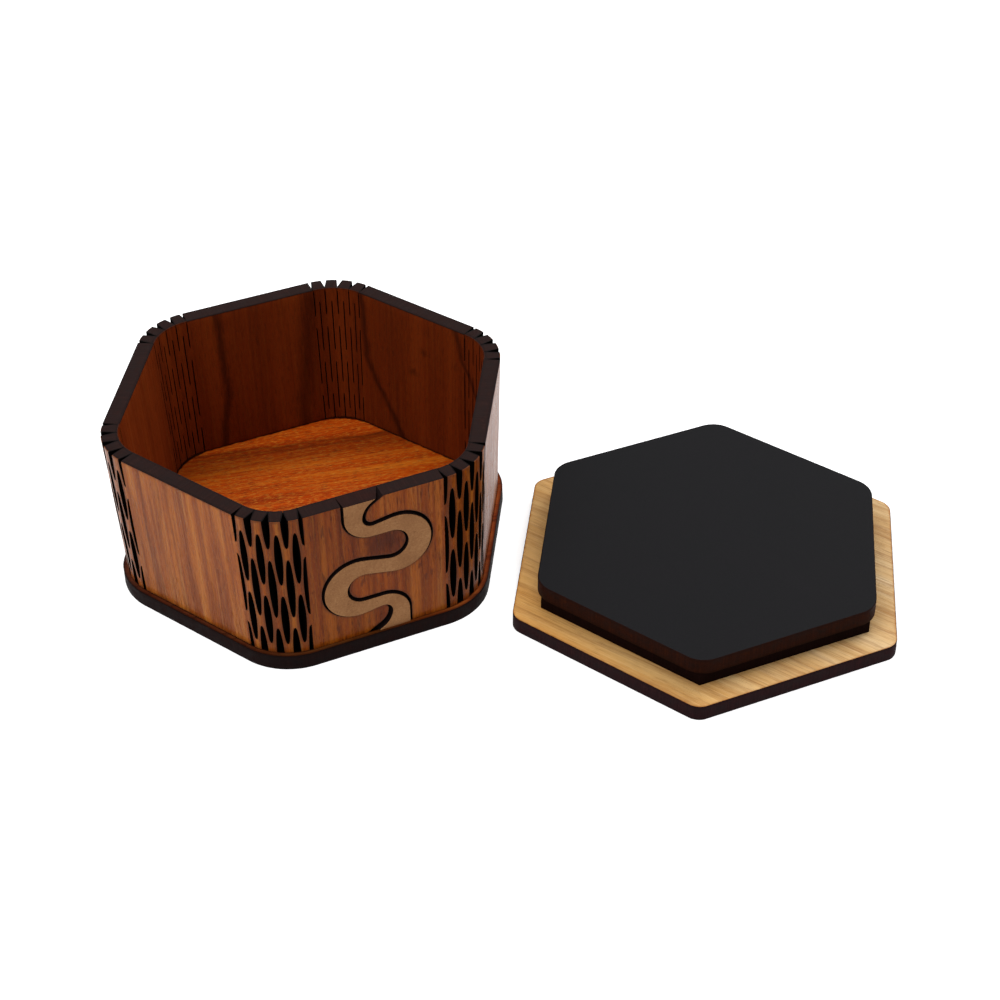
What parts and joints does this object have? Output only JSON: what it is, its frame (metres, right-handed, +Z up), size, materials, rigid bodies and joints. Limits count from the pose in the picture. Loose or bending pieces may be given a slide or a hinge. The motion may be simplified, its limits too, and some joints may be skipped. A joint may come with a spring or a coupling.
{
  "type": "hexagonal box",
  "caption": "Small hexagonal box of veneered board with living-hinge corners, an S-shaped seam key and a three-layer lift-off lid lying upside down beside it.",
  "frame": {"origin": "middle of the base plate's underside", "axes": "+Z up, the seam of the wall faces -Y, and the lid lies towards +X and -Y"},
  "size_m": [0.1445, 0.1146, 0.035],
  "materials": {
    "cherry_veneer": "oiled veneer with scorched edges",
    "floor_veneer": "oiled veneer with scorched edges",
    "bare_board": "bare fibreboard",
    "pale_veneer": "oak veneer with scorched edges",
    "scorched_board": "scorched fibreboard",
    "black_face": "matte black face, scorched edge"
  },
  "bodies": {
    "box": {"base_plate": "floor_veneer", "panel_right_front": "cherry_veneer", "panel_right_back": "cherry_veneer", "panel_back": "cherry_veneer", "panel_left_back": "cherry_veneer", "panel_left_front": "cherry_veneer", "seam_panel_left": "cherry_veneer", "seam_panel_right": "cherry_veneer", "seam_key": "bare_board", "hinge_front_right": "cherry_veneer", "hinge_right": "cherry_veneer", "hinge_back_right": "cherry_veneer", "hinge_back_left": "cherry_veneer", "hinge_left": "cherry_veneer", "hinge_front_left": "cherry_veneer"},
    "lid": {"lid_plate": "pale_veneer", "lid_spacer": "scorched_board", "lid_panel": "black_face"}
  },
  "joints": [
    {"name": "lid_lift", "type": "slide", "parent": "box", "child": "lid", "axis": [0, 0, 1], "range_m": [0, 0.06]}
  ]
}
